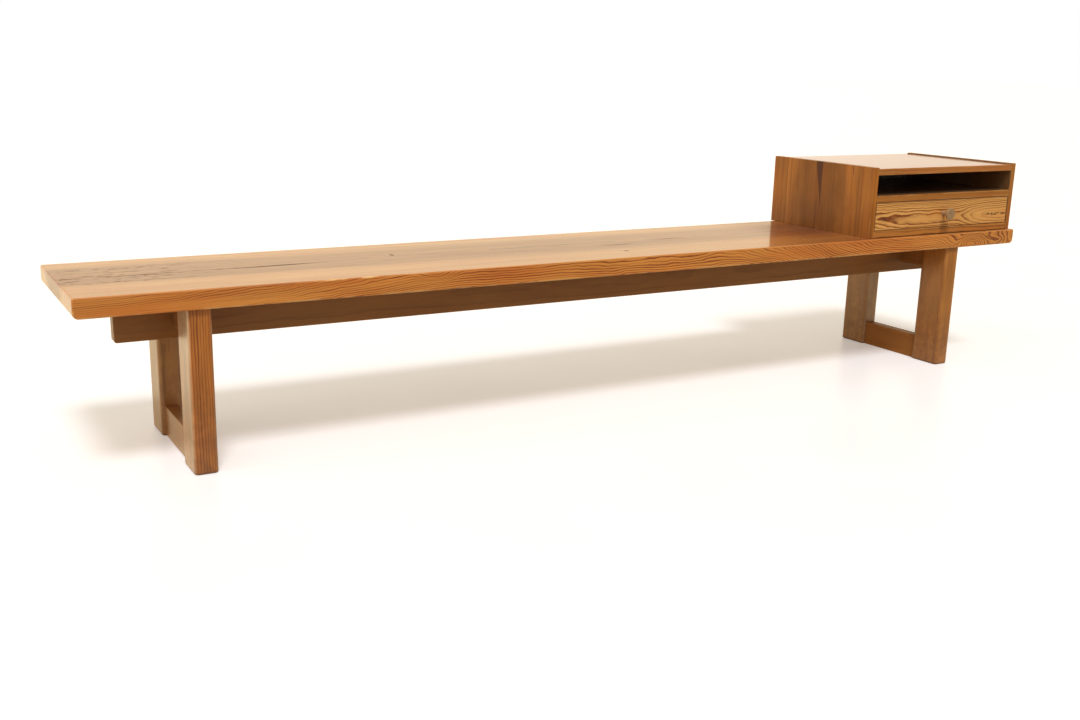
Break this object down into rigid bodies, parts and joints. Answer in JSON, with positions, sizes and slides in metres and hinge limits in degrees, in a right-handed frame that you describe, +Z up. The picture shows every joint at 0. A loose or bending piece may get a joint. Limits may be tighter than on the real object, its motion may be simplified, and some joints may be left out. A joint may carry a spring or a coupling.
{
  "type": "bench with drawer chest",
  "caption": "Long low pine bench: a plank seat on open leg frames tied by a spine beam, with a small chest holding an open shelf over a pull-out drawer on its right end.",
  "frame": {"origin": "on the floor under the middle of the seat, which is the middle of the bottom of the whole object's box", "axes": "+X along the bench towards the chest, +Y from the drawer front to the back, +Z up"},
  "size_m": [2.4, 0.392, 0.53],
  "materials": {
    "seat_wood": "clear semi-gloss lacquer over honey-coloured pine",
    "frame_wood": "clear satin lacquer over honey-coloured pine",
    "chest_wood": "clear satin lacquer over darker, fine-grained pine",
    "drawer_front_wood": "clear satin lacquer over pine with bold brown flame figure",
    "drawer_wood": "bare pale softwood",
    "panel_board": "thin plywood panel",
    "runner_wood": "bare waxed beech",
    "dowel_wood": "bare beech",
    "screw_steel": "dull zinc-plated steel",
    "knob_metal": "aged nickel gone warm grey"
  },
  "bodies": {
    "bench": {"seat_plank": "seat_wood", "left_front_post": "frame_wood", "left_back_post": "frame_wood", "left_bottom_rail": "frame_wood", "left_top_rail": "frame_wood", "right_front_post": "frame_wood", "right_back_post": "frame_wood", "right_bottom_rail": "frame_wood", "right_top_rail": "frame_wood", "spine_beam": "frame_wood", "seat_screws": "screw_steel", "lap_screws": "screw_steel", "chest_side_left": "chest_wood", "chest_side_right": "chest_wood", "chest_top": "chest_wood", "chest_divider": "chest_wood", "chest_base": "chest_wood", "chest_back": "panel_board", "chest_dowels": "dowel_wood", "back_pins": "screw_steel", "drawer_runner_left": "runner_wood", "drawer_runner_right": "runner_wood", "runner_screws": "screw_steel"},
    "drawer": {"drawer_front": "drawer_front_wood", "drawer_side_left": "drawer_wood", "drawer_side_right": "drawer_wood", "drawer_back": "drawer_wood", "drawer_bottom": "panel_board", "bottom_pins": "screw_steel", "drawer_knob": "knob_metal", "knob_screw": "screw_steel"}
  },
  "joints": [
    {"name": "drawer_slide", "type": "slide", "parent": "bench", "child": "drawer", "axis": [0, -1, 0], "range_m": [0, 0.25]}
  ]
}
